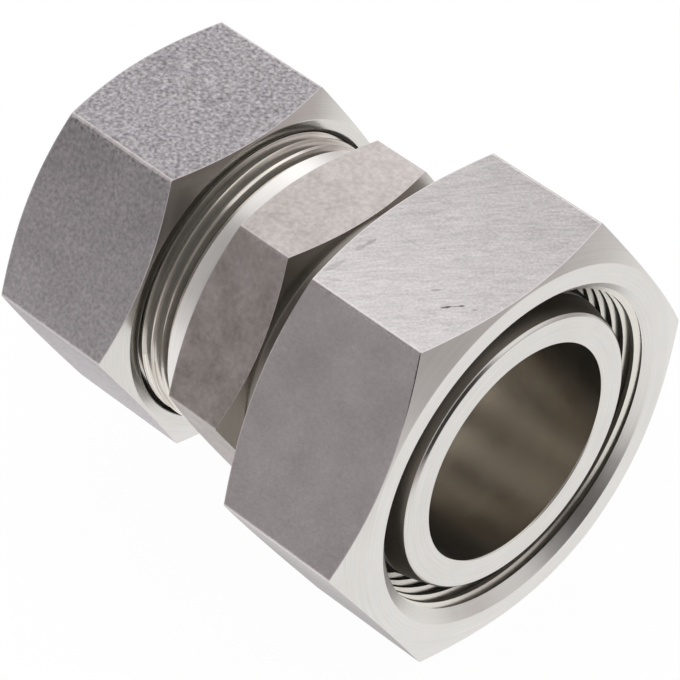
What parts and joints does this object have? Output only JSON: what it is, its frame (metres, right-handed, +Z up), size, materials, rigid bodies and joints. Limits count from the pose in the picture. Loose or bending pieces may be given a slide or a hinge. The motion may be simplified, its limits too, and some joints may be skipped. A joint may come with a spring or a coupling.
{
  "type": "hydraulic compression fitting",
  "caption": "Straight reducing compression fitting: hexagon body, tube nut with cutting ring on one end, and a larger swivel nut around a cone nose on the other.",
  "frame": {"origin": "on the fitting's axis, at the ledge inside the body that stops the tube", "axes": "+X along the axis towards the swivel nut's mouth, +Z up, square to the swivel nut's flat that it lies on"},
  "size_m": [0.0752, 0.0692, 0.06],
  "materials": {
    "turned_steel": "turned, bright",
    "blasted_steel": "matte, grainy",
    "milled_steel": "satin, finely scratched",
    "seal_rubber": "smooth"
  },
  "bodies": {
    "fitting_body": {"body": "turned_steel", "o_ring": "seal_rubber", "retaining_wire": "turned_steel"},
    "ring": {"cutting_ring": "turned_steel"},
    "tube_nut": {"tube_nut": "blasted_steel"},
    "swivel_nut": {"swivel_nut": "milled_steel"}
  },
  "joints": [
    {"name": "thread_travel", "type": "slide", "parent": "fitting_body", "child": "ring", "axis": [-1, 0, 0], "range_m": [0, 0.00801]},
    {"name": "tube_nut_turn", "type": "hinge", "parent": "ring", "child": "tube_nut", "pos_m": [-0.013, 0, 0], "axis": [-1, 0, 0], "range_deg": [0, 1440]},
    {"name": "swivel_turn", "type": "hinge", "parent": "fitting_body", "child": "swivel_nut", "pos_m": [0.03735, 0, 0], "axis": [1, 0, 0], "continuous": true}
  ],
  "couplings": [
    {"joint": "thread_travel", "follows": "tube_nut_turn", "m_per_rad": 0.00031831}
  ]
}
